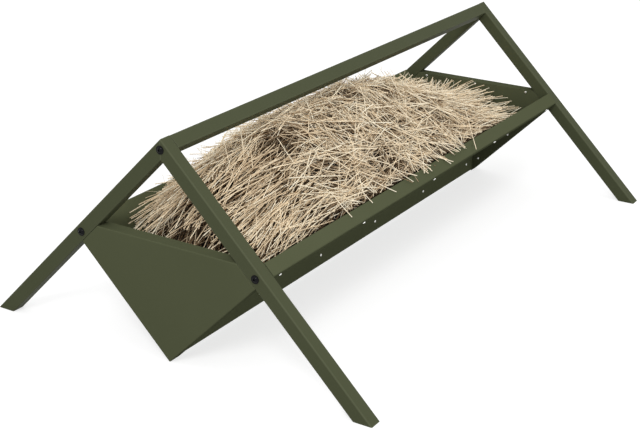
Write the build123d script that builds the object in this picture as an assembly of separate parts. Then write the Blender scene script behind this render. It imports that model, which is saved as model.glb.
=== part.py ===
"""Hay feed trough: a V-shaped sheet-metal trough hung between two A-frames of square tube.

Every piece is its own solid in its own STEP file. The origin is on the floor under the
middle of the trough, +X runs along the trough to its far end, and the front faces -Y.
"""
from build123d import *
from math import sqrt
import os

# Driving dimensions in millimetres.
LENGTH = 1830.0          # over the outer faces of the two A-frames
HEIGHT = 628.0           # floor to the top corner of the ridge tube
TUBE = 40.0              # side of the square tube
TUBE_WALL = 2.5
TUBE_RADIUS = 3.0        # outer corner radius of the tube
SHEET = 1.5              # thickness of the folded sheets and end pans
BEND_RADIUS = 2.0        # inside radius of the folds in the sheets
KEEL_HEIGHT = 5.5        # floor to the lower edge of the seam flanges

# Sizes of the hook that each wall folds over its rail.
HOOK_LIP = 34.0          # width of the fold under the rail

# End boxes.
PAN_EDGE_RADIUS = 3.0
SLOPE_LIP = 30.0         # return lip along the sloping sides
TOP_LIP = 18.0           # return lip along the top
PLATE_GAP = 0.5          # between the inner end plate and the legs

# Bolts through the A-frames into the tube ends.
BOLT_SHANK = 10.0
BOLT_LENGTH = 60.0
BOLT_HEAD = 23.0         # diameter of the flange under the domed head
BOLT_FLANGE = 2.0
BOLT_DOME = 18.0
BOLT_DOME_HEIGHT = 5.0
BOLT_KEY = 6.0           # across the flats of the hexagon socket
BOLT_HOLE = 11.0
BOLT_NUT_FLATS = 16.0
BOLT_NUT_HEIGHT = 8.4
SLEEVE_OUTSIDE = 16.0
END_PLATE = 5.0          # thickness of the threaded plate in each tube end
END_PLATE_GAP = 0.1      # all round, inside the tube

# Small screws.
SCREW_HEAD = 8.4
SCREW_HEAD_HEIGHT = 2.6
SCREW_SHANK = 4.8
SCREW_HOLE = 5.0
SEAM_SCREW_LENGTH = 12.0
RAIL_SCREW_LENGTH = 16.0
END_SCREW_LENGTH = 13.0
SEAM_NUT_FLATS = 8.0
SEAM_NUT_HEIGHT = 4.0

# Rows of screws.
ROW_MARGIN = 88.0        # from each end of the trough to the first and last screw
SEAM_SCREWS = 6
RAIL_SCREWS = 5
SEAM_SCREW_HEIGHT = 39.0
SLOPE_SCREW_INSET = 20.0
SLOPE_LOW_MARGIN = 56.0  # up the slope, from the keel to the first screw of an end box
SLOPE_HIGH_MARGIN = 30.0  # from the last of them to the corner where the legs cross
TOP_SCREW_DROP = 8.0
TOP_SCREW_MARGIN = 31.0  # from each upper corner of an end box

# Hay.
HAY_GAP = 0.6            # clear of the sheets and of the screw heads on the end plates
HAY_SHOULDER = 0.6       # where the outline passes its shoulder, from the middle to the wall
HAY_ROUNDNESS = 1.35     # 1 is a straight slope like a tent
HAY_HEAP = (             # place from -1 to 1 along the trough, then how full the hay makes it:
    (-1.0, 0.49, 0.76),  # its crest, as a share of the height from the keel to the ridge tube,
    (-0.9, 0.63, 0.84),  # and its edges, as a share of the height of the walls
    (-0.75, 0.82, 0.92),
    (-0.5, 0.96, 0.98),
    (-0.1, 0.975, 0.99),
    (0.2, 0.91, 0.99),
    (0.42, 0.80, 0.98),
    (0.62, 0.68, 0.93),
    (0.82, 0.56, 0.82),
    (1.0, 0.48, 0.68),
)

# Derived places.
ROOT2 = sqrt(2.0)
HALF = LENGTH / 2.0
INNER = HEIGHT - TUBE * ROOT2           # |y| + z on the inner faces of the legs
CENTRE = HEIGHT - TUBE / ROOT2          # |y| + z on the centre line of the legs
FRAME_IN = HALF - TUBE                  # inner side of each A-frame
RAIL_Y = (HEIGHT - TUBE * ROOT2) / 2.0  # centre of the rails, from the middle plane
RAIL_Z = HEIGHT / 2.0
PAN_TOP = RAIL_Z + TUBE / ROOT2         # level with the top corners of the rails
WALL_RISE = TUBE * ROOT2                # z - |y| on the underside of the walls
TUBE_BORE = TUBE - 2.0 * TUBE_WALL
PAN_DEPTH = TUBE - SHEET                # the inner end plate takes up the rest
HAY_LOW = WALL_RISE + (SHEET + HAY_GAP) * ROOT2
SIDES = (("near", -1), ("far", 1))
FACES = (("front", -1), ("back", 1))


def save(name, *shapes):
    """Write one node, made of one solid or of a group of alike separate solids."""
    node = Compound(label=name, children=list(shapes)) if len(shapes) > 1 else shapes[0]
    node.label = name
    export_step(node, os.path.join("parts", name + ".step"))


def spaced(count):
    """Places along X of a row of screws with the same margin at both ends."""
    first = ROW_MARGIN - HALF
    step = (LENGTH - 2.0 * ROW_MARGIN) / (count - 1)
    return [first + step * i for i in range(count)]


def along(origin, direction, x_dir=None):
    """A plane whose normal is the direction that a tube or a screw runs in."""
    return Plane(origin=origin, x_dir=x_dir, z_dir=direction)


def square_tube(length):
    """A hollow square tube standing on the XY plane, centred on Z."""
    outer = RectangleRounded(TUBE, TUBE, TUBE_RADIUS)
    bore = RectangleRounded(TUBE_BORE, TUBE_BORE, TUBE_RADIUS - TUBE_WALL + 0.5)
    return extrude(outer - bore, length)


def round_hole(origin, direction, diameter, depth):
    """A cutter for a hole, centred on its origin along the direction."""
    cutter = Cylinder(diameter / 2.0, depth)
    return along(origin, direction) * cutter


def bolt_points():
    """The three places on each A-frame where a bolt goes in, as name, y and z."""
    return (
        ("ridge", 0.0, CENTRE),
        ("front_rail", -RAIL_Y, RAIL_Z),
        ("back_rail", RAIL_Y, RAIL_Z),
    )


def leg(side, face):
    """One leg at 45 degrees, mitred at the apex, cut level at the foot and drilled."""
    run = HEIGHT * ROOT2 + 2.0 * TUBE
    middle_x = side * (HALF - TUBE / 2.0)
    mid = CENTRE / 2.0
    down = (0.0, face, -1.0)
    start = Vector(middle_x, face * mid, mid) - Vector(*down).normalized() * run / 2.0
    tube = along(start, down, (1, 0, 0)) * square_tube(run)
    keep = Box(3.0 * TUBE, HEIGHT + TUBE, HEIGHT + TUBE, align=(Align.CENTER, Align.MIN, Align.MIN))
    if face < 0:
        keep = mirror(keep, Plane.XZ)
    tube = tube & Pos(middle_x, 0, 0) * keep
    for name, y, z in bolt_points():
        if y * face >= 0.0:
            tube = tube - round_hole((middle_x, y, z), (1, 0, 0), BOLT_HOLE, 2.0 * TUBE)
    return tube


def long_tube(y, z):
    """A tube between the A-frames, turned so that one corner points up."""
    level = along((-FRAME_IN, y, z), (1, 0, 0), (0, 1, 1))
    return level * square_tube(2.0 * FRAME_IN)


def rail(face):
    """A rail, with pilot holes for its screws in the centre of its lower outer face."""
    tube = long_tube(face * RAIL_Y, RAIL_Z)
    for point, outward in rail_screw_places(face):
        tube = tube - round_hole(point, outward, SCREW_HOLE, 2.0 * SHEET + 2.0 * TUBE_WALL)
    return tube


def rail_screw_places(face):
    """Each rail screw's seat under its head, and its outward direction."""
    drop = (TUBE / 2.0 + SHEET) / ROOT2
    outward = (0.0, face, -1.0)
    places = []
    for x in spaced(RAIL_SCREWS):
        places.append((Vector(x, face * (RAIL_Y + drop), RAIL_Z - drop), outward))
    return places


def wall_outline():
    """The faces of the front wall that touch the rail, from the fold under it to the keel."""
    outer = (-RAIL_Z, RAIL_Z)
    top = (-RAIL_Y, PAN_TOP)
    lip = HOOK_LIP / ROOT2
    return [
        (outer[0] + lip, outer[1] - lip),
        outer,
        top,
        (-SHEET, WALL_RISE + SHEET),
        (-SHEET, KEEL_HEIGHT),
    ]


def wall(face):
    """A folded sheet: hooked over its rail, down the slope, and turned down at the keel."""
    with BuildSketch(Plane.YZ.offset(-FRAME_IN)) as profile:
        with BuildLine():
            FilletPolyline(*wall_outline(), radius=[TUBE_RADIUS, TUBE_RADIUS, BEND_RADIUS])
            offset(amount=SHEET, side=Side.LEFT)
        make_face()
    sheet = extrude(profile.sketch, 2.0 * FRAME_IN)
    for x in spaced(SEAM_SCREWS):
        sheet = sheet - round_hole((x, 0, SEAM_SCREW_HEIGHT), (0, 1, 0), SCREW_HOLE, 4.0 * SHEET)
    for point, outward in rail_screw_places(-1):
        sheet = sheet - round_hole(point, outward, SCREW_HOLE, 3.0 * SHEET)
    return sheet if face < 0 else mirror(sheet, Plane.XZ)


def end_outline(slope_inset, side_inset, top_inset):
    """The five-sided outline between the legs, with each kind of edge drawn in."""
    low = slope_inset * ROOT2
    high = INNER - side_inset * ROOT2
    top = PAN_TOP - top_inset
    half = [((high - low) / 2.0, (high + low) / 2.0), (high - top, top)]
    other = [(-y, z) for y, z in reversed(half)]
    return Polygon((0.0, low), *half, *other, align=None)


def end_screw_points():
    """The y and z of each screw in an inner end plate."""
    reach = INNER - PAN_TOP - TOP_SCREW_MARGIN
    points = [(y, PAN_TOP - TOP_SCREW_DROP) for y in (-reach, 0.0, reach)]
    first, last = SLOPE_LOW_MARGIN, INNER / ROOT2 - SLOPE_HIGH_MARGIN
    for run in (first, (first + last) / 2.0, last):
        y = (run - SLOPE_SCREW_INSET) / ROOT2
        z = (run + SLOPE_SCREW_INSET) / ROOT2
        points += [(-y, z), (y, z)]
    return points


def drill_end_screws(shape):
    """Holes for the screws that close an end box."""
    for y, z in end_screw_points():
        shape = shape - round_hole((HALF - PAN_DEPTH, y, z), (1, 0, 0), SCREW_HOLE, 4.0 * TUBE_WALL)
    return shape


def end_pan():
    """The outer shell of the far end box: face, five flanges and two kinds of return lip."""
    face = Plane(origin=(HALF, 0, 0), x_dir=(0, 1, 0), z_dir=(1, 0, 0))
    outline = fillet(end_outline(0, 0, 0).vertices(), PAN_EDGE_RADIUS)
    block = extrude(face * outline, -PAN_DEPTH)
    rim = block.faces().sort_by(Axis.X)[-1].edges()
    block = fillet(rim, PAN_EDGE_RADIUS)
    back = block.faces().sort_by(Axis.X)[0]
    shell = offset(block, amount=-SHEET, openings=back)
    inside = HALF - PAN_DEPTH
    lip_plane = Plane(origin=(inside, 0, 0), x_dir=(0, 1, 0), z_dir=(1, 0, 0))
    window = end_outline(SLOPE_LIP, SHEET, TOP_LIP)
    lip = extrude(lip_plane * (end_outline(SHEET / 2.0, SHEET / 2.0, SHEET / 2.0) - window), SHEET)
    return drill_end_screws(shell + lip)


def inner_end_plate():
    """The flat plate that closes the far end box and stops the hay."""
    inside = Plane(origin=(FRAME_IN, 0, 0), x_dir=(0, 1, 0), z_dir=(1, 0, 0))
    outline = fillet(end_outline(0, PLATE_GAP, 0).vertices(), PAN_EDGE_RADIUS)
    return drill_end_screws(extrude(inside * outline, SHEET))


def domed_bolt():
    """A low domed flange bolt along -Z, with the underside of its head at the origin."""
    flange = Cylinder(BOLT_HEAD / 2.0, BOLT_FLANGE, align=(Align.CENTER, Align.CENTER, Align.MIN))
    dome_radius = (BOLT_DOME ** 2 / 4.0 + BOLT_DOME_HEIGHT ** 2) / (2.0 * BOLT_DOME_HEIGHT)
    ball = Pos(0, 0, BOLT_FLANGE + BOLT_DOME_HEIGHT - dome_radius) * Sphere(dome_radius)
    dome = ball & Pos(0, 0, BOLT_FLANGE) * Cylinder(
        BOLT_DOME, BOLT_DOME, align=(Align.CENTER, Align.CENTER, Align.MIN))
    shank = Cylinder(BOLT_SHANK / 2.0, BOLT_LENGTH, align=(Align.CENTER, Align.CENTER, Align.MAX))
    socket_floor = BOLT_FLANGE + 1.0
    socket = Pos(0, 0, socket_floor) * extrude(
        RegularPolygon(BOLT_KEY / 2.0, 6, major_radius=False), BOLT_DOME)
    return flange + dome + shank - socket


def pan_head_screw(length):
    """A pan-head screw along -Z, with the underside of its head at the origin."""
    head = SCREW_HEAD / 2.0
    shank = SCREW_SHANK / 2.0
    with BuildSketch(Plane.XZ) as half:
        with BuildLine():
            Polyline(
                (0, SCREW_HEAD_HEIGHT), (head * 0.62, SCREW_HEAD_HEIGHT),
                (head, SCREW_HEAD_HEIGHT * 0.4), (head, 0), (shank, 0),
                (shank, shank - length), (0, -length), close=True)
        make_face()
    return revolve(half.sketch, Axis.Z)


def hexagon_nut(flats, height, bore):
    """A nut on the XY plane, pointing up."""
    return extrude(RegularPolygon(flats / 2.0, 6, major_radius=False) - Circle(bore / 2.0), height)


def frame_bolts(y, z):
    """The bolts at one place on both A-frames."""
    return [along((side * HALF, y, z), (side, 0, 0), (0, 1, 1)) * domed_bolt() for _, side in SIDES]


def sleeves(side):
    """Spacer sleeves in one A-frame, which keep the bolts from crushing the tube."""
    tube = Cylinder(SLEEVE_OUTSIDE / 2.0, TUBE_BORE) - Cylinder(BOLT_HOLE / 2.0, TUBE)
    middle = side * (HALF - TUBE / 2.0)
    return [along((middle, y, z), (1, 0, 0)) * tube for _, y, z in bolt_points()]


def end_plates(y, z):
    """The drilled square plates welded inside both ends of one tube."""
    size = TUBE_BORE - 2.0 * END_PLATE_GAP
    plate = extrude(RectangleRounded(size, size, 1.5) - Circle(BOLT_HOLE / 2.0), END_PLATE)
    return [along((side * FRAME_IN, y, z), (-side, 0, 0), (0, 1, 1)) * plate for _, side in SIDES]


def end_nuts(y, z):
    """The nuts welded behind the end plates of one tube."""
    nut = hexagon_nut(BOLT_NUT_FLATS, BOLT_NUT_HEIGHT, BOLT_SHANK + 0.1)
    seat = FRAME_IN - END_PLATE
    return [along((side * seat, y, z), (-side, 0, 0), (0, 1, 1)) * nut for _, side in SIDES]


def seam_screws():
    """The screws through the two seam flanges, with their heads at the front."""
    screw = pan_head_screw(SEAM_SCREW_LENGTH)
    return [along((x, -SHEET, SEAM_SCREW_HEIGHT), (0, -1, 0)) * screw for x in spaced(SEAM_SCREWS)]


def seam_nuts():
    """The nuts behind the seam flanges."""
    nut = hexagon_nut(SEAM_NUT_FLATS, SEAM_NUT_HEIGHT, SCREW_SHANK + 0.1)
    return [along((x, SHEET, SEAM_SCREW_HEIGHT), (0, 1, 0)) * nut for x in spaced(SEAM_SCREWS)]


def rail_screws(face):
    """The screws that hold a wall's hook to its rail, from below."""
    screw = pan_head_screw(RAIL_SCREW_LENGTH)
    return [along(point, outward) * screw for point, outward in rail_screw_places(face)]


def end_screws(side):
    """The screws that hold an inner end plate to its pan."""
    screw = pan_head_screw(END_SCREW_LENGTH)
    return [along((side * FRAME_IN, y, z), (-side, 0, 0)) * screw for y, z in end_screw_points()]


def hay_section(place, crest_share, rim_share):
    """One cross-section of the hay: the V of the walls below, a heap between rim and crest."""
    crest = HAY_LOW + (INNER - HAY_LOW) * crest_share
    rim = HAY_LOW + (PAN_TOP - HAY_LOW) * rim_share
    edge = rim - HAY_LOW
    shoulder = rim + (crest - rim) * (1.0 - HAY_SHOULDER ** HAY_ROUNDNESS)
    reach = FRAME_IN - SCREW_HEAD_HEIGHT - HAY_GAP
    with BuildSketch(Plane.YZ.offset(place * reach)) as section:
        with BuildLine():
            Polyline((-edge, rim), (0.0, HAY_LOW), (edge, rim))
            Spline((edge, rim), (edge * HAY_SHOULDER, shoulder), (0.0, crest),
                   (-edge * HAY_SHOULDER, shoulder), (-edge, rim))
        make_face()
    return section.sketch.face()


def hay():
    """The heap of hay as one plain closed solid that fills the trough and mounds above it."""
    return loft([hay_section(*row) for row in HAY_HEAP], ruled=True)


def main():
    """Build every piece and write it."""
    os.makedirs("parts", exist_ok=True)
    far_pan = end_pan()
    far_plate = inner_end_plate()
    for end, side in SIDES:
        for face_name, face in FACES:
            save(f"{end}_{face_name}_leg", leg(side, face))
        save(f"{end}_end_pan", far_pan if side > 0 else mirror(far_pan, Plane.YZ))
        save(f"{end}_inner_end_plate", far_plate if side > 0 else mirror(far_plate, Plane.YZ))
        save(f"{end}_bolt_sleeves", *sleeves(side))
        save(f"{end}_end_screws", *end_screws(side))
    save("ridge_tube", long_tube(0.0, CENTRE))
    for face_name, face in FACES:
        save(f"{face_name}_rail", rail(face))
        save(f"{face_name}_wall", wall(face))
        save(f"{face_name}_rail_screws", *rail_screws(face))
    for name, y, z in bolt_points():
        save(f"{name}_bolts", *frame_bolts(y, z))
        save(f"{name}_end_plates", *end_plates(y, z))
        save(f"{name}_end_nuts", *end_nuts(y, z))
    save("seam_screws", *seam_screws())
    save("seam_nuts", *seam_nuts())
    save("hay", hay())


main()
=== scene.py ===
"""Dresses the feed trough: satin olive paint, bright screws and a heap of loose hay."""

import logging
import math
from dataclasses import dataclass, field
from enum import Enum
from typing import Any

import bmesh
import bpy
import numpy as np
from bpy.types import ColorRamp, Material, Mesh, Node, NodeSocket, NodeTree, Object
from mathutils import Matrix, Vector
from mathutils.bvhtree import BVHTree


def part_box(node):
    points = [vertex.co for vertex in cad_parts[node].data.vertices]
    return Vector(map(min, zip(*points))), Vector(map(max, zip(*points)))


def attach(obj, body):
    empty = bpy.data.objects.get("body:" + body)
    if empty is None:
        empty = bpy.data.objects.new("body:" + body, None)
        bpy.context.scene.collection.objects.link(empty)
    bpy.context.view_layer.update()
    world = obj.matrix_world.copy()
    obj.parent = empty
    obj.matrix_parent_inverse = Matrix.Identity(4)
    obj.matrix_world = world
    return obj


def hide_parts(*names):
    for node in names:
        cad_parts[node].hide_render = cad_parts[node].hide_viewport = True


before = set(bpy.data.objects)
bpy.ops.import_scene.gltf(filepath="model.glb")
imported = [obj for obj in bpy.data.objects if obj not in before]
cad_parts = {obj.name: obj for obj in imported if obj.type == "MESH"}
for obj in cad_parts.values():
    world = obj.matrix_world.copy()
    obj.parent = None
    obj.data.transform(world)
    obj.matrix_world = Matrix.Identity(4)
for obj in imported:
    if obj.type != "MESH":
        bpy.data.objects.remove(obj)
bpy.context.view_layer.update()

log = logging.getLogger("feed_trough")

Pair = tuple[float, float]
Triple = tuple[float, float, float]
Four = tuple[float, float, float, float]
Colour = Four
Array = np.ndarray
Dice = np.random.Generator


def srgb(red: float, green: float, blue: float) -> Colour:
    """A colour as it looks on a screen, from 0 to 255, turned into linear values."""
    def linear(value: float) -> float:
        """One channel, made linear."""
        part = value / 255.0
        return part / 12.92 if part <= 0.04045 else ((part + 0.055) / 1.055) ** 2.4

    return (linear(red), linear(green), linear(blue), 1.0)


class Wire:
    """A socket in a node tree, with arithmetic that adds the Math nodes for it."""

    def __init__(self, graph: "Graph", socket: NodeSocket) -> None:
        """Keep the socket and the graph that it belongs to."""
        self.graph = graph
        self.socket = socket

    def _math(self, operation: str, first: Any, second: Any) -> "Wire":
        """Add one Math node and return its result."""
        node = self.graph.node("ShaderNodeMath", {0: first, 1: second}, operation=operation)
        return self.graph.out(node)

    def __add__(self, other: Any) -> "Wire":
        """This value plus another."""
        return self._math("ADD", self, other)

    def __mul__(self, other: Any) -> "Wire":
        """This value times another."""
        return self._math("MULTIPLY", self, other)

    def __sub__(self, other: Any) -> "Wire":
        """This value less another."""
        return self._math("SUBTRACT", self, other)

    def __rsub__(self, other: Any) -> "Wire":
        """Another value less this one."""
        return self._math("SUBTRACT", other, self)

    def __pow__(self, exponent: float) -> "Wire":
        """This value to a power."""
        return self._math("POWER", self, exponent)

    def at_least(self, floor: float) -> "Wire":
        """This value, or the floor where that is more."""
        return self._math("MAXIMUM", self, floor)

    def spread(self, low: float, high: float) -> "Wire":
        """This value from 0 to 1, spread from low to high."""
        return self * (high - low) + low


class Graph:
    """A node tree with one way to add a node and one to read a result."""

    def __init__(self, tree: NodeTree) -> None:
        """Start from an empty tree."""
        self.tree = tree
        tree.nodes.clear()

    def node(self, kind: str, values: dict | None = None, **settings: Any) -> Node:
        """Add a node, set it up, then fill its sockets.

        Args:
            kind: The node's type.
            values: Socket name or number to a constant, or to a Wire or a node to link.
            **settings: Properties of the node, set first. "stops" fills a colour ramp.

        Returns:
            The new node.
        """
        node = self.tree.nodes.new(kind)
        for name, value in settings.items():
            if name == "stops":
                self._fill_ramp(node.color_ramp, value)
            else:
                setattr(node, name, value)
        for key, value in (values or {}).items():
            socket = node.inputs[key]
            if isinstance(value, Node):
                value = self.out(value)
            if isinstance(value, Wire):
                self.tree.links.new(value.socket, socket)
            else:
                socket.default_value = value
        return node

    @staticmethod
    def _fill_ramp(ramp: ColorRamp, stops: list[tuple[float, Colour]]) -> None:
        """Give a ramp its stops."""
        while len(ramp.elements) < len(stops):
            ramp.elements.new(0.5)
        for element, (place, colour) in zip(ramp.elements, stops):
            element.position = place
            element.color = colour

    def out(self, node: Node, key: int | str = 0) -> Wire:
        """One result of a node, as a Wire."""
        return Wire(self, node.outputs[key])

    def noise(self, scale: float, detail: float = 3.0) -> Wire:
        """Noise from 0 to 1 in object space, by its waves per metre and its octaves."""
        place = self.out(self.node("ShaderNodeTexCoord"), "Object")
        node = self.node("ShaderNodeTexNoise", {"Vector": place, "Scale": scale, "Detail": detail})
        return self.out(node, "Fac")

    def join(self, x: Any, y: Any, z: Any) -> Wire:
        """Three values as a vector."""
        return self.out(self.node("ShaderNodeCombineXYZ", {"X": x, "Y": y, "Z": z}))

    def end(self, instances: Node, material: Wire) -> NodeTree:
        """Make instances real, give them their material and put them out of the tree."""
        real = self.node("GeometryNodeRealizeInstances", {0: instances})
        dressed = self.node("GeometryNodeSetMaterial", {"Geometry": real, "Material": material})
        self.node("NodeGroupOutput", {0: dressed})
        return self.tree

    def read(self, name: str, kind: str) -> Wire:
        """A named attribute as a field of a geometry tree."""
        node = self.node("GeometryNodeInputNamedAttribute", {"Name": name}, data_type=kind)
        return self.out(node)

    def pose(self, axis: str, turn: str) -> Wire:
        """A rotation that lays an axis along the "aim" attribute and turns by another one."""
        laid = self.node("FunctionNodeAlignRotationToVector", {
            "Vector": self.read("aim", "FLOAT_VECTOR")}, axis=axis)
        spin = self.node("FunctionNodeAxisAngleToRotation", {
            "Axis": [float(letter == axis) for letter in "XYZ"], "Angle": self.read(turn, "FLOAT")})
        return self.out(self.node("FunctionNodeRotateRotation", {
            "Rotation": laid, "Rotate By": spin}, rotation_space="LOCAL"))

    def edges(self, radius: float) -> Wire:
        """A mask that rises from 0 on the flats to 1 on the corners, within a radius of them."""
        round_off = self.node("ShaderNodeBevel", {"Radius": radius}, samples=4)
        true = self.node("ShaderNodeNewGeometry")
        gap = self.node("ShaderNodeVectorMath", {
            0: round_off, 1: self.out(true, "Normal")}, operation="DISTANCE")
        contrast = 1.6
        return self.out(self.node("ShaderNodeClamp", {0: self.out(gap, "Value") * contrast}))

    def mix(self, factor: Wire | float, first: Any, second: Any) -> Wire:
        """Two colours, mixed, by the node's colour sockets."""
        node = self.node("ShaderNodeMix", {0: factor, 6: first, 7: second}, data_type="RGBA")
        return self.out(node, 2)


def new_material(name: str) -> tuple[Material, Graph]:
    """A material with an empty tree, and the graph of that tree."""
    material = bpy.data.materials.new(name)
    material.use_nodes = True
    return material, Graph(material.node_tree)


def finish_surface(graph: Graph, values: dict[str, Any], bump: Wire, depth: float) -> None:
    """Add the Principled shader, its bump and the output.

    Args:
        graph: The material's graph.
        values: Sockets of the shader.
        bump: The height that makes the bump, from 0 to 1.
        depth: The bump's depth in metres.
    """
    node = graph.node("ShaderNodeBump", {"Height": bump, "Distance": depth, "Strength": 1.0})
    shader = graph.node("ShaderNodeBsdfPrincipled", {**values, "Normal": node})
    graph.node("ShaderNodeOutputMaterial", {"Surface": shader})


@dataclass(frozen=True)
class PowderCoat:
    """Satin powder coat: an even colour, a fine orange peel, a little dust and a painted highlight
    along the corners.
    """

    name: str
    colour: Colour
    dusty: Colour
    edge: Colour
    roughness: float = 0.56
    specular: float = 0.05
    highlight_radius: float = 0.0028
    peel_scale: float = 520.0
    peel_depth: float = 0.00005
    cloud_scale: float = 7.0
    fleck_scale: float = 160.0
    wear_scale: float = 45.0

    def material(self) -> Material:
        """The finished material."""
        material, graph = new_material(self.name)
        cloud = graph.noise(self.cloud_scale, 4.0)
        fleck = graph.noise(self.fleck_scale, 2.0)
        dust = cloud.spread(-0.35, 0.65) * 0.5 + fleck * 0.12
        flat = graph.mix(dust, self.colour, self.dusty)
        wear = graph.noise(self.wear_scale)
        values = {
            # The corners take the lighter edge colour, which is a painted highlight along them.
            "Base Color": graph.mix(graph.edges(self.highlight_radius), flat, self.edge),
            "Roughness": wear.spread(self.roughness - 0.05, self.roughness + 0.07),
            "Specular IOR Level": self.specular,
        }
        finish_surface(graph, values, graph.noise(self.peel_scale, 1.0), self.peel_depth)
        return material


@dataclass(frozen=True)
class PlainMetal:
    """Bare or blackened metal with faint turning marks."""

    name: str
    colour: Colour
    worn: Colour
    roughness: float
    metallic: float
    specular: float = 0.5
    rub_scale: float = 900.0
    mark_scale: float = 2400.0
    mark_depth: float = 0.00002

    def material(self) -> Material:
        """The finished material."""
        material, graph = new_material(self.name)
        rub = graph.noise(self.rub_scale)
        values = {
            "Base Color": graph.mix(rub, self.colour, self.worn),
            "Roughness": rub.spread(self.roughness * 0.8, self.roughness * 1.25),
            "Metallic": self.metallic,
            "Specular IOR Level": self.specular,
        }
        finish_surface(graph, values, graph.noise(self.mark_scale, 2.0), self.mark_depth)
        return material


@dataclass(frozen=True)
class StrawFinish:
    """Dry stems: each has its own tone, with streaks along it and a dull gloss."""

    name: str
    shade: Colour
    middle: Colour
    light: Colour
    pale: Colour
    blotch_scale: float = 38.0
    speck_scale: float = 420.0
    specular: float = 0.35
    speck_depth: float = 0.0002

    def material(self) -> Material:
        """The finished material."""
        material, graph = new_material(self.name)
        tone = graph.out(graph.node("ShaderNodeAttribute", attribute_name="tone"), "Fac")
        blotch = graph.noise(self.blotch_scale)
        speck = graph.noise(self.speck_scale, 2.0)
        place = tone * 0.78 + blotch * 0.24 + speck * 0.1 - 0.06
        stops = [(0.0, self.shade), (0.36, self.middle), (0.7, self.light), (1.0, self.pale)]
        values = {
            "Base Color": graph.node("ShaderNodeValToRGB", {0: place}, stops=stops),
            "Roughness": speck.spread(0.5, 0.75),
            "Specular IOR Level": self.specular,
        }
        finish_surface(graph, values, speck, self.speck_depth)
        return material


class Finish(Enum):
    """The finishes of the trough."""

    # The fourth colour of each powder coat is its painted highlight along the corners.
    FRAME = PowderCoat("frame_powder_coat", srgb(71, 75, 54), srgb(78, 82, 61), srgb(96, 100, 79))
    SHEET = PowderCoat(
        "sheet_powder_coat", srgb(80, 84, 62), srgb(88, 92, 69), srgb(84, 88, 66), specular=0.0)
    BOLT = PlainMetal("black_bolt", srgb(12, 12, 14), srgb(22, 22, 24), 0.2, 0.0, specular=0.08)
    SCREW = PlainMetal("bright_zinc", srgb(238, 238, 234), srgb(250, 250, 246), 0.34, 1.0)
    INNER = PlainMetal("dull_zinc", srgb(150, 152, 150), srgb(170, 172, 170), 0.42, 0.9)
    STRAW = StrawFinish(
        "dry_straw", srgb(46, 33, 19), srgb(146, 119, 87), srgb(242, 221, 187), srgb(255, 251, 232))
    # The core's near-black straw colours are painted shade between the stems.
    SHADED_CORE = StrawFinish(
        "straw_core_painted_shade", srgb(18, 12, 7), srgb(27, 19, 12), srgb(37, 27, 17), srgb(48, 36, 23))


class Shop:
    """Makes each finish once and dresses pieces with it."""

    def __init__(self) -> None:
        """Start with no finish made."""
        self._made: dict[Finish, Material] = {}

    def material(self, finish: Finish) -> Material:
        """The material of a finish."""
        if finish not in self._made:
            self._made[finish] = finish.value.material()
        return self._made[finish]

    def dress(self, piece: Object, finish: Finish) -> None:
        """Give every slot of a piece one finish."""
        material = self.material(finish)
        if not piece.material_slots:
            piece.data.materials.append(material)
        for slot in piece.material_slots:
            slot.material = material


def add_object(name: str, mesh: Mesh) -> Object:
    """Put a mesh, in the trough's own frame, in the scene as an object."""
    piece = bpy.data.objects.new(name, mesh)
    bpy.context.scene.collection.objects.link(piece)
    return piece


def mesh_from(name: str, points: Any, faces: list[tuple[int, ...]], smooth: bool) -> Mesh:
    """A mesh from points and faces.

    Args:
        name: The mesh's name.
        points: Places, in metres.
        faces: Point numbers of each face, seen anticlockwise from outside.
        smooth: Whether it is shaded smooth.

    Returns:
        The mesh.
    """
    mesh = bpy.data.meshes.new(name)
    mesh.from_pydata([tuple(float(v) for v in p) for p in points], [], faces)
    mesh.polygons.foreach_set("use_smooth", [smooth] * len(mesh.polygons))
    mesh.update()
    return mesh


def new_tree(name: str, inputs: list[tuple[str, str, Any]]) -> tuple[Graph, dict[str, Wire]]:
    """A Geometry Nodes tree with named inputs, one geometry in and one out.

    Args:
        name: The tree's name.
        inputs: Name, socket type and default of each further input.

    Returns:
        The tree's graph, and its inputs by name.
    """
    tree = bpy.data.node_groups.new(name, "GeometryNodeTree")
    graph = Graph(tree)
    tree.interface.new_socket("Geometry", in_out="INPUT", socket_type="NodeSocketGeometry")
    for label, kind, default in inputs:
        socket = tree.interface.new_socket(label, in_out="INPUT", socket_type=kind)
        if default is not None:
            socket.default_value = default
    tree.interface.new_socket("Geometry", in_out="OUTPUT", socket_type="NodeSocketGeometry")
    entry = graph.node("NodeGroupInput")
    labels = ["Geometry", *(label for label, _, _ in inputs)]
    return graph, {label: graph.out(entry, label) for label in labels}


def points_mesh(name: str, points: Array, columns: dict[str, tuple[str, Array]]) -> Mesh:
    """A mesh of loose points that carry values.

    Args:
        name: The mesh's name.
        points: Places, in metres.
        columns: Each value's name, its type and one value a point.

    Returns:
        The mesh.
    """
    mesh = bpy.data.meshes.new(name)
    mesh.vertices.add(len(points))
    mesh.vertices.foreach_set("co", points.astype(np.float32).ravel())
    for label, (kind, values) in columns.items():
        attribute = mesh.attributes.new(label, kind, "POINT")
        part = "vector" if kind == "FLOAT_VECTOR" else "value"
        number = np.int32 if kind == "INT" else np.float32
        attribute.data.foreach_set(part, values.astype(number).ravel())
    return mesh


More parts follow.
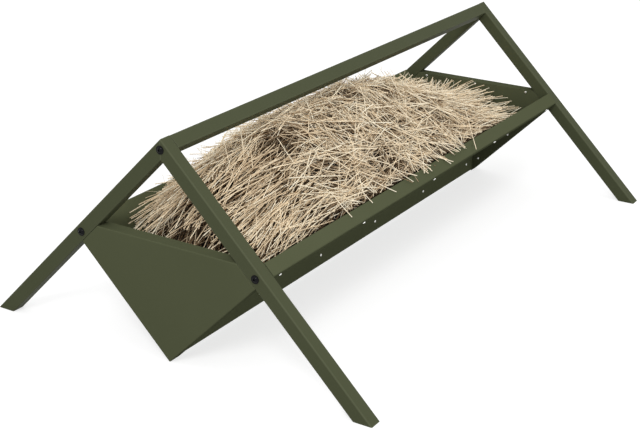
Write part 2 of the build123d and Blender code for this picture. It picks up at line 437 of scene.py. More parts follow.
def grow(
    seedbed: Mesh, name: str, tree: NodeTree, values: dict[str, Any]
) -> Object:
    """Run a Geometry Nodes tree on a mesh and keep the result as a plain mesh.

    Args:
        seedbed: The mesh that the tree starts from.
        name: The name of the finished piece.
        tree: The tree.
        values: Values for the tree's named inputs.

    Returns:
        The finished piece, with no modifier.
    """
    bed = add_object(name + "_bed", seedbed)
    modifier = bed.modifiers.new("grow", "NODES")
    modifier.node_group = tree
    for item in tree.interface.items_tree:
        if item.in_out == "INPUT" and item.name in values:
            modifier[item.identifier] = values[item.name]
    depsgraph = bpy.context.evaluated_depsgraph_get()
    mesh = bpy.data.meshes.new_from_object(bed.evaluated_get(depsgraph), depsgraph=depsgraph)
    bpy.data.objects.remove(bed)
    mesh.name = name
    # The seedbed's empty slot comes along with the tree's own material.
    if mesh.materials[0] is None:
        mesh.materials.pop(index=0)
    return add_object(name, mesh)


@dataclass
class PaintedFrame:
    """The A-frames, the ridge, the rails and the folded sheets: carried-over parts."""

    frame_parts: tuple[str, ...] = ("leg", "ridge_tube", "front_rail", "back_rail")
    sheet_parts: tuple[str, ...] = ("_wall", "_end_pan", "inner_end_plate")
    inner_parts: tuple[str, ...] = ("_sleeves", "_end_plates", "_end_nuts", "seam_nuts")
    bolts: tuple[str, ...] = ("_bolts",)

    def dress(self, shop: Shop) -> None:
        """Give each carried-over part its finish, by what its name ends in."""
        finishes = {
            self.frame_parts: Finish.FRAME, self.sheet_parts: Finish.SHEET,
            self.inner_parts: Finish.INNER, self.bolts: Finish.BOLT,
        }
        for name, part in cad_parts.items():
            for ends, finish in finishes.items():
                if name.endswith(ends):
                    shop.dress(part, finish)
                    log.info("dressed %s with %s", name, finish.name)


@dataclass
class PanHeadScrews:
    """The pan-head screws with a cross recess, each on the seat of its plain solid."""

    head: float = 0.0084
    head_height: float = 0.0026
    shank: float = 0.0048
    recess_reach: float = 0.0050
    recess_width: float = 0.0011
    recess_depth: float = 0.0014
    sides: int = 28
    rings: int = 14
    shank_sides: int = 16
    crown_power: float = 0.62
    rim_power: float = -0.24
    nodes: tuple[str, ...] = (
        "seam_screws", "front_rail_screws", "back_rail_screws", "near_end_screws", "far_end_screws",
    )

    def sizes(self) -> dict[str, float]:
        """The sizes that the tree takes, by the names of its inputs."""
        return {
            "Head": self.head, "Height": self.head_height, "Shank": self.shank,
            "Reach": self.recess_reach, "Width": self.recess_width, "Depth": self.recess_depth,
        }

    def seats(self, node: str) -> tuple[Array, Array, Array]:
        """Find the seat of each plain screw, under its head.

        Args:
            node: The node that holds the plain screws.

        Returns:
            Seats, outward directions and shank lengths, in metres.
        """
        copy = bmesh.new()
        copy.from_mesh(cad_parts[node].data)
        bmesh.ops.remove_doubles(copy, verts=copy.verts, dist=1e-6)
        left = set(copy.verts)
        found = []
        while left:
            queue = [left.pop()]
            island = []
            while queue:
                vert = queue.pop()
                island.append(tuple(vert.co))
                for edge in vert.link_edges:
                    other = edge.other_vert(vert)
                    if other in left:
                        left.remove(other)
                        queue.append(other)
            found.append(self._seat(np.array(island)))
        copy.free()
        found.sort(key=lambda item: tuple(item[0].round(4)))
        return tuple(np.array(column) for column in zip(*found))

    def _seat(self, points: Array) -> tuple[Array, Array, float]:
        """The seat, direction and shank length of one screw."""
        middle = points.mean(0)
        aim = np.linalg.svd(points - middle)[2][0]
        along = (points - middle) @ aim
        radius = np.linalg.norm(points - middle - along[:, None] * aim, axis=1)
        # The widest ring of points is the rim of the head, and the head faces outwards.
        rim = radius > self.head * 0.46
        if along[rim].mean() < along.mean():
            aim, along = -aim, -along
        seat = along[rim].min()
        return middle + aim * seat, aim, seat - along.min()

    def tree(self) -> NodeTree:
        """The tree that sets a screw on each seat, with its sizes and its material as inputs."""
        graph, given = new_tree("pan_head_screws", [
            *((name, "NodeSocketFloat", size) for name, size in self.sizes().items()),
            ("Sides", "NodeSocketInt", self.sides), ("Zinc", "NodeSocketMaterial", None),
        ])
        head, height = given["Head"], given["Height"]
        ball = graph.node("GeometryNodeMeshUVSphere", {
            "Segments": given["Sides"], "Rings": self.rings, "Radius": 1.0})
        place = graph.node("ShaderNodeSeparateXYZ", {0: graph.node("GeometryNodeInputPosition")})
        x, y, z = (graph.out(place, axis) for axis in "XYZ")
        up = z.at_least(0.0) ** self.crown_power
        wide = (1.0 - z * z).at_least(0.00001) ** self.rim_power
        cut = graph.node("GeometryNodeSetPosition", {
            "Geometry": graph.out(ball, "Mesh"),
            "Position": graph.join(x * wide * head * 0.5, y * wide * head * 0.5, up * height)})
        reach, width, depth = (given[name] for name in ("Reach", "Width", "Depth"))
        for size in (graph.join(reach, width, depth * 2.0), graph.join(width, reach, depth * 2.0)):
            bar = graph.node("GeometryNodeMeshCube", {"Size": size})
            lifted = graph.node("GeometryNodeTransform", {
                "Geometry": bar, "Translation": graph.join(0.0, 0.0, height)})
            cut = graph.node("GeometryNodeMeshBoolean", {
                "Mesh 1": cut, "Mesh 2": lifted}, operation="DIFFERENCE", solver="EXACT")
        rod = graph.node("GeometryNodeMeshCylinder", {
            "Vertices": self.shank_sides, "Radius": given["Shank"] * 0.5, "Depth": 1.0,
        }, fill_type="NGON")
        hung = graph.node("GeometryNodeTransform", {"Geometry": rod, "Translation": (0, 0, -0.5)})
        posed = graph.pose("Z", "turn")
        heads = graph.node("GeometryNodeInstanceOnPoints", {
            "Points": given["Geometry"], "Instance": cut, "Rotation": posed})
        rods = graph.node("GeometryNodeInstanceOnPoints", {
            "Points": given["Geometry"], "Instance": hung, "Rotation": posed,
            "Scale": graph.join(1.0, 1.0, graph.read("long", "FLOAT"))})
        both = graph.node("GeometryNodeJoinGeometry", {0: heads})
        graph.tree.links.new(rods.outputs[0], both.inputs[0])
        return graph.end(both, given["Zinc"])

    def build(self, shop: Shop) -> list[tuple[str, Object]]:
        """Make the screws of each node.

        Args:
            shop: Where the finish comes from.

        Returns:
            Pairs of a node's name and the piece that stands for it.
        """
        dice = np.random.default_rng(41)
        tree = self.tree()
        made = []
        for node in self.nodes:
            seats, aims, lengths = self.seats(node)
            bed = points_mesh(node + "_seats", seats, {
                "aim": ("FLOAT_VECTOR", aims), "long": ("FLOAT", lengths),
                "turn": ("FLOAT", dice.uniform(0.0, math.pi / 2.0, len(seats)))})
            piece = grow(bed, node + "_dressed", tree, {
                **self.sizes(), "Sides": self.sides, "Zinc": shop.material(Finish.SCREW)})
            made.append((node, piece))
            log.info("%s: %d screws", node, len(seats))
        return made


@dataclass(frozen=True)
class Rise:
    """A smooth rise along a line: nothing up to its start, all of it once its run is over."""

    start: float
    run: float
    full: float = 1.0

    def at(self, place: Array) -> Array:
        """How much has risen at each place."""
        t = np.clip((place - self.start) / self.run, 0.0, 1.0)
        return self.full * (t * t * (3.0 - 2.0 * t))


@dataclass(frozen=True)
class Waves:
    """A sum of crossed sine waves, each with its turns in X and Y, its phase and its weight."""

    waves: tuple[Four, ...]

    def at(self, x: Array, y: Array) -> Array:
        """The sum at each place."""
        total = np.zeros_like(x)
        for turns_x, turns_y, phase, weight in self.waves:
            total += weight * np.sin(turns_x * x + turns_y * y + phase)
        return total


@dataclass
class HeapShape:
    """The heap's surface: the top of the plain CAD solid, settled, eaten down and lumpy.

    A place on it is x, in metres along the trough, and v, from -1 at the front edge to 1 at the
    back edge. A corner is eaten down by a rise in x times one in v. A dip is its x and v and its
    reach in each. Stems hang over the rail only within over_half of the middle, and they stay
    under a lid that falls away from the ridge tube.
    """

    columns: int = 140
    rows: int = 72
    lump: float = 0.0045
    lumps: Waves = Waves((
        (9.0, 14.0, 0.3, 1.0), (-17.0, 11.0, 1.7, 0.8), (26.0, -21.0, 4.1, 0.5),
        (5.0, -33.0, 2.2, 0.45), (-38.0, -9.0, 5.3, 0.4), (14.0, 41.0, 0.9, 0.35),
    ))
    patches: Waves = Waves((
        (31.0, 17.0, 0.6, 1.0), (-23.0, 37.0, 2.9, 1.0),
        (53.0, -29.0, 4.4, 0.8), (12.0, 58.0, 1.3, 0.8),
    ))
    settled: float = 0.021
    near_corner: tuple[Rise, Rise] = (Rise(0.56, 0.28, 0.12), Rise(-0.15, 0.95))
    far_corner: tuple[Rise, Rise] = (Rise(0.56, 0.22, 0.12), Rise(-0.05, 0.85))
    far_fall: Rise = Rise(0.45, 0.35, 0.03)
    dips: tuple[Four, ...] = (
        (-0.41, -0.27, 0.07, 0.14), (-0.21, -0.19, 0.05, 0.09), (-0.53, -0.20, 0.09, 0.15),
        (-0.20, -0.76, 0.12, 0.10), (0.34, -0.72, 0.13, 0.13), (-0.79, 0.05, 0.07, 0.25),
    )
    dip_depth: float = 0.012
    wall_gap: float = 0.003
    end_gap: float = 0.003
    rail_gap: float = 0.004
    over_half: float = 0.2
    over_reach: float = 0.03
    lid_rise: float = 0.003
    lid_slope: float = 0.1

    def __post_init__(self) -> None:
        """Read the heap's outline and the frame's lines from the carried-over parts."""
        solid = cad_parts["hay"]
        verts = [solid.matrix_world @ v.co for v in solid.data.vertices]
        faces = [tuple(p.vertices) for p in solid.data.polygons]
        self.solid = BVHTree.FromPolygons(verts, faces)
        self.half_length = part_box("hay")[1].x
        rail_low, rail_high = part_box("back_rail")
        ridge_low, ridge_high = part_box("ridge_tube")
        self.rail_y = (rail_low.y + rail_high.y) / 2.0
        self.rail_z = (rail_low.z + rail_high.z) / 2.0
        self.band_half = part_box("back_wall")[1].y - self.rail_y
        self.ridge_z = (ridge_low.z + ridge_high.z) / 2.0
        self.ridge_half = (ridge_high.z - ridge_low.z) / 2.0
        self.valley = self.solid.ray_cast(Vector((0.0, 0.0, -1.0)), Vector((0.0, 0.0, 1.0)))[0].z
        self._survey()

    def _survey(self) -> None:
        """Measure the top of the solid on a grid, and its half width at each column."""
        inset = 0.998
        self.xs = np.linspace(-self.half_length * inset, self.half_length * inset, self.columns)
        self.vs = np.linspace(-1.0, 1.0, self.rows)
        self.half_width = np.array([self._edge(float(x)) for x in self.xs])
        self.tops = np.zeros((self.columns, self.rows))
        for i, x in enumerate(self.xs):
            for j, v in enumerate(self.vs):
                y = float(v) * self.half_width[i]
                hit = self._drop(float(x), y)
                self.tops[i, j] = hit.z if hit else self.valley + abs(y)

    def _drop(self, x: float, y: float) -> Vector | None:
        """Where a plumb line from above meets the solid, if it does."""
        return self.solid.ray_cast(Vector((x, y, 1.0)), Vector((0.0, 0.0, -1.0)))[0]

    def _edge(self, x: float) -> float:
        """How far the solid reaches in Y at one place along the trough, less a hair."""
        halvings, inset = 14, 0.995
        low, high = 0.0, 0.4
        for _ in range(halvings):
            middle = (low + high) / 2.0
            if self._drop(x, middle):
                low = middle
            else:
                high = middle
        return low * inset

    def patch(self, x: Array, y: Array) -> Array:
        """How thick the hay lies, in uneven patches from -1 to 1."""
        return np.clip(self.patches.at(x, y) / 2.4, -1.0, 1.0)

    def dip(self, x: Array, v: Array) -> Array:
        """How deep each place lies in one of the dips, from 0 to 1; the stems there get painted
        shade.
        """
        deep = [
            np.exp(-(((x - dip_x) / reach_x) ** 2) - ((v - dip_v) / reach_v) ** 2)
            for dip_x, dip_v, reach_x, reach_v in self.dips
        ]
        return np.max(deep, axis=0)

    def _hollow(self, x: Array, v: Array) -> Array:
        """How far the hay has settled and is eaten down, in metres."""
        near = self.near_corner[0].at(-x) * self.near_corner[1].at(v)
        far = self.far_corner[0].at(x) * self.far_corner[1].at(-v)
        settled = self.settled * (1.0 - v * v)
        return near + far + self.far_fall.at(x) + settled + self.dip_depth * self.dip(x, v)

    def top(self, x: Array, v: Array, eaten: float | Array) -> tuple[Array, Array]:
        """The heap's surface.

        Args:
            x: Places along the trough, in metres.
            v: Places across it, from -1 at the front edge to 1 at the back edge.
            eaten: How much of the hollows is taken off, where 1 is all of them.

        Returns:
            y and z in metres.
        """
        i = np.interp(x, self.xs, np.arange(self.columns))
        j = np.interp(v, self.vs, np.arange(self.rows))
        i0 = np.clip(i.astype(int), 0, self.columns - 2)
        j0 = np.clip(j.astype(int), 0, self.rows - 2)
        a, b = i - i0, j - j0
        t = self.tops
        z = (t[i0, j0] * (1 - a) * (1 - b) + t[i0 + 1, j0] * a * (1 - b)
             + t[i0, j0 + 1] * (1 - a) * b + t[i0 + 1, j0 + 1] * a * b)
        y = v * np.interp(x, self.xs, self.half_width)
        z = z - eaten * self._hollow(x, v)
        bumps = self.lump * (self.lumps.at(x, y) - 0.8)
        return y, z + bumps * (1.0 - np.abs(v) ** 4)

    def frames(self, x: Array, v: Array, eaten: float | Array) -> tuple[Array, Array]:
        """Points of the surface and their upward normals, for the same values as in top."""
        step = 0.02
        x0, x1 = np.clip(x - step, *self.xs[[0, -1]]), np.clip(x + step, *self.xs[[0, -1]])
        v0, v1 = np.clip(v - step, -1.0, 1.0), np.clip(v + step, -1.0, 1.0)
        y, z = self.top(x, v, eaten)
        (ya, za), (yb, zb) = self.top(x0, v, eaten), self.top(x1, v, eaten)
        (yc, zc), (yd, zd) = self.top(x, v0, eaten), self.top(x, v1, eaten)
        along = np.stack([x1 - x0, yb - ya, zb - za], 1)
        across = np.stack([np.zeros_like(x), yd - yc, zd - zc], 1)
        normal = np.cross(along, across)
        normal /= np.linalg.norm(normal, axis=1, keepdims=True)
        return np.stack([x, y, z], 1), normal

    def clear(self, points: Array) -> Array:
        """Whether each point lies clear of the walls, the end plates, the rails and the ridge."""
        x, y, z = np.abs(points[:, 0]), np.abs(points[:, 1]), points[:, 2]
        lid = self.ridge_z - self.ridge_half + self.lid_rise - self.lid_slope * y
        within = (x < self.half_length - self.end_gap) & (z < lid)
        in_trough = (z > y + self.valley + self.wall_gap) & (y < self.rail_y)
        band = self.rail_y + self.rail_z + self.band_half + self.rail_gap
        over_rail = (y + z > band) & (y < self.rail_y + self.over_reach) & (x < self.over_half)
        return within & (in_trough | over_rail)


@dataclass(frozen=True)
class StemBed:
    """One lot of stems: how many are tried, where they lie and how they look, in metres.

    Length, thickness, depth under the surface and tone are each a least and a most value. Lift
    tilts the stems out of the surface, loose turns them away from their tuft, patchy keeps them
    to the thick patches, and a fan spreads over both ends of the heap.
    """

    name: str
    stems: int
    seed: int
    length: Pair
    thickness: Pair
    depth: Pair
    lift: float
    tone: Pair
    sides: int = 3
    loose: float = 1.0
    patchy: float = 0.0
    fan: bool = False


@dataclass
class HayHeap:
    """The heap of loose hay, which stands for the plain CAD solid of the same outline.

    A comb is the heading of one end on the heap's middle line, in radians, and its change towards
    the back edge. Swing is how far the tufts turn in the middle and at the ends; stray is how far
    single stems turn in the middle, and how much less at the ends. A hanging stem is its x, its
    lean and its reach over the front rail. A bend is sideways and lengthwise, in thicknesses. The
    core is the dense body under the stems.
    """

    shape: HeapShape = field(default_factory=HeapShape)
    # Tones rise from the deepest lot to the loosest one. The dark tones of the deep lots are
    # painted shade under the top stems.
    beds: tuple[StemBed, ...] = (
        StemBed("hay_under", 6400, 11, (0.07, 0.16), (0.0020, 0.0030), (0.008, 0.021),
                lift=0.06, tone=(0.0, 0.07)),
        StemBed("hay_middle", 5000, 12, (0.08, 0.18), (0.0019, 0.0030), (0.005, 0.017),
                lift=0.10, tone=(0.0, 0.24), patchy=0.45),
        StemBed("hay_top", 6200, 14, (0.07, 0.19), (0.0018, 0.0029), (-0.008, 0.009),
                lift=0.15, tone=(0.28, 1.0), patchy=0.9),
        StemBed("hay_loose", 2400, 16, (0.10, 0.24), (0.0023, 0.0032), (-0.014, 0.0),
                lift=0.2, tone=(0.78, 1.0), sides=4, loose=1.9, patchy=0.7),
        StemBed("hay_fine", 1300, 15, (0.06, 0.16), (0.0010, 0.0017), (-0.009, 0.010),
                lift=0.24, tone=(0.3, 1.0), loose=1.4, patchy=0.4),
        StemBed("hay_wisps", 1900, 17, (0.07, 0.17), (0.0008, 0.0013), (-0.018, -0.002),
                lift=0.55, tone=(0.6, 1.0), loose=2.2, patchy=0.3),
        StemBed("hay_fan", 520, 18, (0.17, 0.30), (0.0022, 0.0032), (-0.008, 0.010),
                lift=0.08, tone=(0.6, 1.0), sides=4, loose=0.6, fan=True),
    )
    hanging: tuple[Triple, ...] = (
        (0.051, 0.056, 0.023), (0.058, 0.024, 0.034), (0.055, 0.066, 0.032),
        (0.283, -0.092, 0.036), (-0.045, -0.022, 0.024), (-0.262, 0.034, 0.022),
        (-0.150, 0.010, 0.022), (-0.475, -0.015, 0.018), (0.135, 0.030, 0.014),
        (-0.350, -0.030, 0.014),
    )
    hanging_bed: StemBed = StemBed(
        "hay_strays", 10, 19, (0.0, 0.0), (0.0022, 0.0028), (0.0, 0.0),
        lift=0.0, tone=(0.85, 1.0), sides=5)
    bends: tuple[Pair, ...] = (
        (0.1, 0.4), (1.3, 0.6), (-1.8, 1.2), (2.8, -1.2), (0.7, 2.4), (-3.4, -1.8), (0.4, -0.7),
    )
    steps: int = 4
    tufts: int = 340
    ends: Rise = Rise(0.3, 0.35)
    near_comb: Pair = (0.10, -0.24)
    far_comb: Pair = (0.0, 0.62)
    middle_comb: float = -0.9
    swing: Pair = (1.2, 0.26)
    stray: Pair = (0.42, 0.24)
    spread: float = 0.985
    near_fan: Pair = (-0.76, -0.58)
    far_fan: Pair = (0.60, 0.80)
    fan_eaten: Pair = (0.0, 0.6)
    far_fan_rise: float = 0.16
    slope_share: Triple = (0.35, 0.8, 1.0)
    shortest: float = 0.03
    shorten: float = 0.75
    tries: int = 7
    rail_room: float = 0.012
    near_thin: Rise = Rise(0.48, 0.3, 0.55)
    far_thin: Rise = Rise(0.5, 0.3, 0.4)
    dip_thin: float = 0.55
    dip_painted_shade: float = 0.32
    dip_spared: float = 0.12
    patch_light: float = 0.16
    core_sink: float = 0.018
    core_columns: int = 90
    core_rows: int = 30

    def _headings(self, dice: Dice, x: Array, v: Array, loose: float) -> Array:
        """Each stem's heading in plan: alike within a tuft, combed outwards at both ends."""
        tuft_seed, wander_spread, across = 77, 0.02, 0.27
        seeds = np.random.default_rng(tuft_seed)
        half = self.shape.half_length
        tuft_x = seeds.uniform(-half, half, self.tufts)
        tuft_v = seeds.uniform(-1.0, 1.0, self.tufts)
        tuft_turn = seeds.uniform(-1.0, 1.0, self.tufts)
        wander = dice.normal(0.0, wander_spread, (2, len(x)))
        gap = (tuft_x[None, :] - (x + wander[0])[:, None]) ** 2
        gap += (across * (tuft_v[None, :] - v[:, None]) + wander[1][:, None]) ** 2
        turn = tuft_turn[np.argmin(gap, axis=1)]
        end = self.ends.at(np.abs(x / half))
        near = self.near_comb[0] + self.near_comb[1] * v
        far = self.far_comb[0] + self.far_comb[1] * v
        comb = end * np.where(x < 0.0, near, far) + (1.0 - end) * self.middle_comb
        swing = (1.0 - end) * self.swing[0] + end * self.swing[1]
        stray = dice.normal(0.0, 1.0, len(x)) * (self.stray[0] - self.stray[1] * end) * loose
        return comb + turn * swing + stray

    def _aims(self, bed: StemBed, dice: Dice, x: Array, v: Array, normals: Array) -> Array:
        """Each stem's direction, along the surface and a little tilted out of it."""
        angle = self._headings(dice, x, v, bed.loose)
        aim = np.stack([np.cos(angle), np.sin(angle), np.zeros(len(x))], 1)
        rest = normals * np.array(self.slope_share)
        rest /= np.linalg.norm(rest, axis=1, keepdims=True)
        aim -= rest * np.sum(aim * rest, axis=1, keepdims=True)
        aim += normals * dice.normal(0.0, bed.lift, len(x))[:, None]
        if bed.fan:
            aim[:, 2] += self.far_fan_rise * (x > 0.0)
        return aim / np.linalg.norm(aim, axis=1, keepdims=True)

    def _lengths(self, bed: StemBed, dice: Dice, points: Array, aim: Array) -> tuple[Array, Array]:
        """Each stem's length, cut back until it lies clear, and whether it then does."""
        low, high = bed.length
        length = low + (high - low) * dice.beta(1.6, 2.2, len(points))
        good = np.zeros(len(points), bool)
        for _ in range(self.tries):
            fits = np.ones(len(points), bool)
            for part in (-0.5, -0.3, -0.1, 0.1, 0.3, 0.5):
                fits &= self.shape.clear(points + aim * (length * part)[:, None])
            good |= fits
            length = np.where(good, length, length * self.shorten)
        inside = np.abs(points[:, 1]) < self.shape.rail_y - self.rail_room
        return length, good & (length > self.shortest) & inside

    def _kept(self, bed: StemBed, dice: Dice, x: Array, patch: Array, dip: Array) -> Array:
        """Whether each stem stays, which is rarer in thin patches, in dips and at the ends."""
        patchy = bed.patchy > 0.0
        thin = self.near_thin.at(-x) + self.far_thin.at(x)
        share = (1.0 - bed.patchy * np.clip(0.35 - patch, 0.0, 1.0)) * (1.0 - thin * patchy)
        return dice.uniform(0.0, 1.0, len(x)) < share * (1.0 - self.dip_thin * dip * patchy)

    def _tones(self, bed: StemBed, dice: Dice, patch: Array, dip: Array) -> Array:
        """Each stem's tone, lighter in thick patches and mostly darker in the dips, as painted
        shade.
        """
        low, high = bed.tone
        tone = dice.beta(0.9, 0.9, len(patch)) + self.patch_light * patch * (bed.patchy > 0.0)
        tone = low + (high - low) * np.clip(tone, 0.0, 1.0)
        darkened = dice.uniform(0.0, 1.0, len(patch)) > self.dip_spared
        # Most stems in a dip are darkened as painted shade; the dip is also a real hollow with
        # fewer stems.
        return tone * (1.0 - self.dip_painted_shade * dip * darkened)

    def lay(self, bed: StemBed) -> Mesh:
        """Place a lot of stems as points that carry each stem's aim, size, roll, bend and tone.

        Args:
            bed: The lot.

        Returns:
            A mesh of loose points with those values as attributes.
        """
        dice = np.random.default_rng(bed.seed)
        x = self.shape.half_length * dice.uniform(-self.spread, self.spread, bed.stems)
        if bed.fan:
            near, far = (dice.uniform(*span, bed.stems) for span in (self.near_fan, self.far_fan))
            x = np.where(x < 0.0, near, far)
        v = dice.uniform(-self.spread, self.spread, bed.stems)
        eaten = dice.uniform(*self.fan_eaten, bed.stems) if bed.fan else 1.0
        points, normals = self.shape.frames(x, v, eaten)
        patch = self.shape.patch(points[:, 0], points[:, 1])
        dip = self.shape.dip(x, v)
        aim = self._aims(bed, dice, x, v, normals)
        points = points - normals * dice.uniform(*bed.depth, bed.stems)[:, None]
        length, good = self._lengths(bed, dice, points, aim)
        good &= self._kept(bed, dice, x, patch, dip)
        tone = self._tones(bed, dice, patch, dip)
        return self._seedbed(bed, dice, points[good], aim[good], length[good], tone[good])

    def lay_hanging(self) -> Mesh:
        """Place the few stems that hang out over the front rail.

        Returns:
            Their middles, as loose points with each stem's aim, size, roll, bend and tone.
        """
        shape, bed = self.shape, self.hanging_bed
        dice = np.random.default_rng(bed.seed)
        room, droop, behind, above = 0.006, 0.55, 0.085, 0.047
        corner = np.array([0.0, -shape.rail_y, shape.rail_z + shape.band_half + room])
        tips, tails = [], []
        for x, lean, reach in self.hanging:
            over = corner + np.array([x, 0.0, 0.0])
            tips.append(over + np.array([lean * 0.5, -reach, -reach * droop]))
            tails.append(over + np.array([-lean * 1.2, behind, above]))
        tips, tails = np.array(tips), np.array(tails)
        run = tips - tails
        length = np.linalg.norm(run, axis=1)
        tone = dice.uniform(*bed.tone, len(run))
        return self._seedbed(bed, dice, (tips + tails) / 2.0, run / length[:, None], length, tone)

    def _seedbed(
        self, bed: StemBed, dice: Dice, points: Array, aim: Array, length: Array, tone: Array
    ) -> Mesh:
        """Loose points with the attributes that the stem tree reads."""
        n = len(points)
        thick = dice.uniform(*bed.thickness, n)
        return points_mesh(bed.name + "_points", points, {
            "aim": ("FLOAT_VECTOR", aim),
            "size": ("FLOAT_VECTOR", np.stack([length, thick, thick], 1)),
            "roll": ("FLOAT", dice.uniform(0.0, 2.0 * math.pi, n)),
            "tone": ("FLOAT", tone),
            "bend": ("INT", dice.integers(0, len(self.bends), n)),
        })

    def stem_tree(self) -> NodeTree:
        """The tree that grows a bent stem on each point, with sizes and material as inputs."""
        graph, given = new_tree("stems", [
            ("Sides", "NodeSocketInt", 3), ("Steps", "NodeSocketInt", self.steps),
            ("Straw", "NodeSocketMaterial", None),
        ])
        section = graph.node("GeometryNodeCurvePrimitiveCircle", {
            "Resolution": given["Sides"], "Radius": 0.5})
        line = graph.node("GeometryNodeCurvePrimitiveLine", {
            "Start": (-0.5, 0.0, 0.0), "End": (0.5, 0.0, 0.0)})
        steps = graph.node("GeometryNodeResampleCurve", {
            "Curve": line, "Count": given["Steps"]})
        facets = graph.node("GeometryNodeCurveToMesh", {
            "Curve": steps, "Profile Curve": section, "Fill Caps": True})
        straight = graph.node("GeometryNodeSetShadeSmooth", {0: facets, "Shade Smooth": True})
        place = graph.node("GeometryNodeInputPosition")
        x = graph.out(graph.node("ShaderNodeSeparateXYZ", {0: place}), "X")
        bow = 1.0 - x * x * 4.0
        shapes = graph.node("GeometryNodeJoinGeometry")
        # The last link to a join comes out first, so the bends are linked from last to first.
        for side, rise in reversed(self.bends):
            bent = graph.node("GeometryNodeSetPosition", {
                "Geometry": straight, "Offset": graph.join(0.0, bow * side, bow * x * rise * 2.0)})
            one = graph.node("GeometryNodeGeometryToInstance", {0: bent})
            graph.tree.links.new(one.outputs[0], shapes.inputs[0])
        placed = graph.node("GeometryNodeInstanceOnPoints", {
            "Points": given["Geometry"], "Instance": shapes,
            "Pick Instance": True, "Instance Index": graph.read("bend", "INT"),
            "Rotation": graph.pose("X", "roll"), "Scale": graph.read("size", "FLOAT_VECTOR")})
        return graph.end(placed, given["Straw"])

    def _core_ring(self, x: float) -> list[Triple]:
        """The core's outline at one place: its crown from front to back, then its floor."""
        shape, probes, eaten = self.shape, 240, 1.2
        wall_room, floor_room, thinnest = 0.006, 0.004, 0.001
        wide = np.linspace(-0.95, 0.95, probes)
        y, z = shape.top(np.full(probes, x), wide, eaten)
        inside = wide[z - self.core_sink > np.abs(y) + shape.valley + wall_room]
        vs = np.linspace(inside[0], inside[-1], self.core_rows)
        y, z = shape.top(np.full(self.core_rows, x), vs, eaten)
        floor = np.abs(y) + shape.valley + floor_room
        crown = np.maximum(z - self.core_sink, floor + thinnest)
        upper = [(x, yy, zz) for yy, zz in zip(y, crown)]
        return upper + [(x, yy, zz) for yy, zz in zip(y[::-1], floor[::-1])]

    def build_core(self) -> Object:
        """The dense body under the loose stems, a closed mesh a little inside the heap, coloured
        near black as painted shade.
        """
        columns, ring = self.core_columns, 2 * self.core_rows
        xs = np.linspace(-1.0, 1.0, columns) * self.shape.half_length * self.spread
        points = [point for x in xs for point in self._core_ring(x)]
        faces: list[tuple[int, ...]] = []
        for i in range(columns - 1):
            for j in range(ring):
                k = (j + 1) % ring
                faces.append((i * ring + j, (i + 1) * ring + j, (i + 1) * ring + k, i * ring + k))
        faces.append(tuple(range(ring)))
        faces.append(tuple(range((columns - 1) * ring, columns * ring))[::-1])
        mesh = mesh_from("hay_core", points, faces, True)
        outward = bmesh.new()
        outward.from_mesh(mesh)
        bmesh.ops.recalc_face_normals(outward, faces=outward.faces)
        outward.to_mesh(mesh)
        outward.free()
        return add_object("hay_core", mesh)

    def build(self, shop: Shop) -> list[Object]:
        """Make the core and every lot of stems.

        Args:
            shop: Where the finishes come from.

        Returns:
            The pieces of the heap.
        """
        core = self.build_core()
        shop.dress(core, Finish.SHADED_CORE)
        straw = shop.material(Finish.STRAW)
        tree = self.stem_tree()
        pieces = [core]
        for bed in (*self.beds, self.hanging_bed):
            points = self.lay_hanging() if bed is self.hanging_bed else self.lay(bed)
            piece = grow(points, bed.name, tree, {
                "Straw": straw, "Sides": bed.sides, "Steps": self.steps})
            pieces.append(piece)
            log.info("%s: %d faces", bed.name, len(piece.data.polygons))
        return pieces


@dataclass(frozen=True)
class Lamp:
    """A square area lamp that points at the middle of the trough."""

    name: str
    place: Triple
    size: float
    power: float
    target: Triple = (0.0, 0.0, 0.3)

    def build(self) -> None:
        """Add the lamp to the scene."""
        data = bpy.data.lights.new(self.name, "AREA")
        data.size = self.size
        data.energy = self.power
        lamp = bpy.data.objects.new(self.name, data)
        aim = Vector(self.target) - Vector(self.place)
        lamp.location = self.place
        lamp.rotation_euler = aim.to_track_quat("-Z", "Y").to_euler()
        bpy.context.scene.collection.objects.link(lamp)


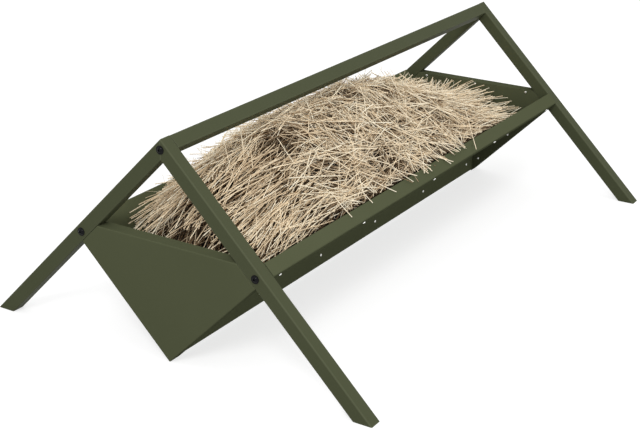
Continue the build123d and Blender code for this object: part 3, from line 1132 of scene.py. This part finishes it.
@dataclass
class Studio:
    """A white floor, soft light and the camera at the photograph's viewing angle."""

    picture_width: float = 640.0
    sensor: float = 36.0
    focal_pixels: float = 1347.354
    place: Triple = (-3.3945, -2.0562, 1.7059)
    heading: float = 32.508
    dip: float = 21.985
    roll: float = 0.146
    floor_half: float = 30.0
    floor_drop: float = 0.0004
    floor_grey: float = 0.43
    floor_glow: float = 0.69
    sky: float = 0.8
    lamps: tuple[Lamp, ...] = (
        Lamp("key", (-6.1, -2.9, 6.0), 2.0, 286.0), Lamp("fill", (-0.5, -7.0, 3.4), 3.0, 100.0),
    )

    def build(self) -> None:
        """Make the floor, the world, the lamps and the camera."""
        self._floor()
        self._world()
        for lamp in self.lamps:
            lamp.build()
        self._camera()

    def _floor(self) -> None:
        """A floor that looks white, keeps the soft shadow and gives back little light."""
        half, grey = self.floor_half, self.floor_grey
        square = ((-half, -half), (half, -half), (half, half), (-half, half))
        corners = [(x, y, -self.floor_drop) for x, y in square]
        floor = add_object("floor", mesh_from("floor", corners, [(0, 1, 2, 3)], False))
        material, graph = new_material("white_floor")
        matt = graph.node("ShaderNodeBsdfDiffuse", {"Color": (grey, grey, grey, 1.0)})
        glow = graph.node("ShaderNodeEmission", {
            "Color": (1, 1, 1, 1), "Strength": self._seen(graph) * self.floor_glow})
        both = graph.node("ShaderNodeAddShader", {0: matt, 1: glow})
        graph.node("ShaderNodeOutputMaterial", {"Surface": both})
        floor.data.materials.append(material)

    @staticmethod
    def _seen(graph: Graph) -> Wire:
        """1 for the rays that look at the background, straight or by way of metal."""
        rays = graph.node("ShaderNodeLightPath")
        total = graph.out(rays, "Is Camera Ray") + graph.out(rays, "Is Glossy Ray")
        return total + graph.out(rays, "Is Transmission Ray")

    def _world(self) -> None:
        """An even pale sky that the camera and reflections see as white."""
        world = bpy.data.worlds.new("soft_sky")
        world.use_nodes = True
        bpy.context.scene.world = world
        graph = Graph(world.node_tree)
        light = graph.node("ShaderNodeBackground", {"Color": (1, 1, 1, 1), "Strength": self.sky})
        white = graph.node("ShaderNodeBackground", {"Color": (1, 1, 1, 1), "Strength": 1.0})
        both = graph.node("ShaderNodeMixShader", {0: self._seen(graph), 1: light, 2: white})
        graph.node("ShaderNodeOutputWorld", {"Surface": both})

    def _camera(self) -> None:
        """The camera, from its place, heading, dip and roll."""
        data = bpy.data.cameras.new("camera")
        data.sensor_width = self.sensor
        data.lens = self.sensor * self.focal_pixels / self.picture_width
        data.clip_end = 100.0
        camera = bpy.data.objects.new("camera", data)
        heading, dip = math.radians(self.heading), math.radians(self.dip)
        level = math.cos(dip)
        view = Vector((math.cos(heading) * level, math.sin(heading) * level, -math.sin(dip)))
        turn = view.to_track_quat("-Z", "Y").to_matrix().to_4x4()
        camera.matrix_world = Matrix.Translation(self.place) @ turn @ Matrix.Rotation(
            math.radians(self.roll), 4, "Z")
        bpy.context.scene.collection.objects.link(camera)
        bpy.context.scene.camera = camera


def main() -> None:
    """Build and dress the trough, then the studio."""
    logging.basicConfig(level=logging.INFO, format="%(message)s")
    bpy.context.scene.view_settings.view_transform = "Standard"
    shop = Shop()
    PaintedFrame().dress(shop)
    heap = HayHeap()
    for piece in heap.build(shop):
        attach(piece, "root")
        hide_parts("hay")
    for node, piece in PanHeadScrews().build(shop):
        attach(piece, "root")
        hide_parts(node)
    Studio().build()


if __name__ == "__main__":
    main()
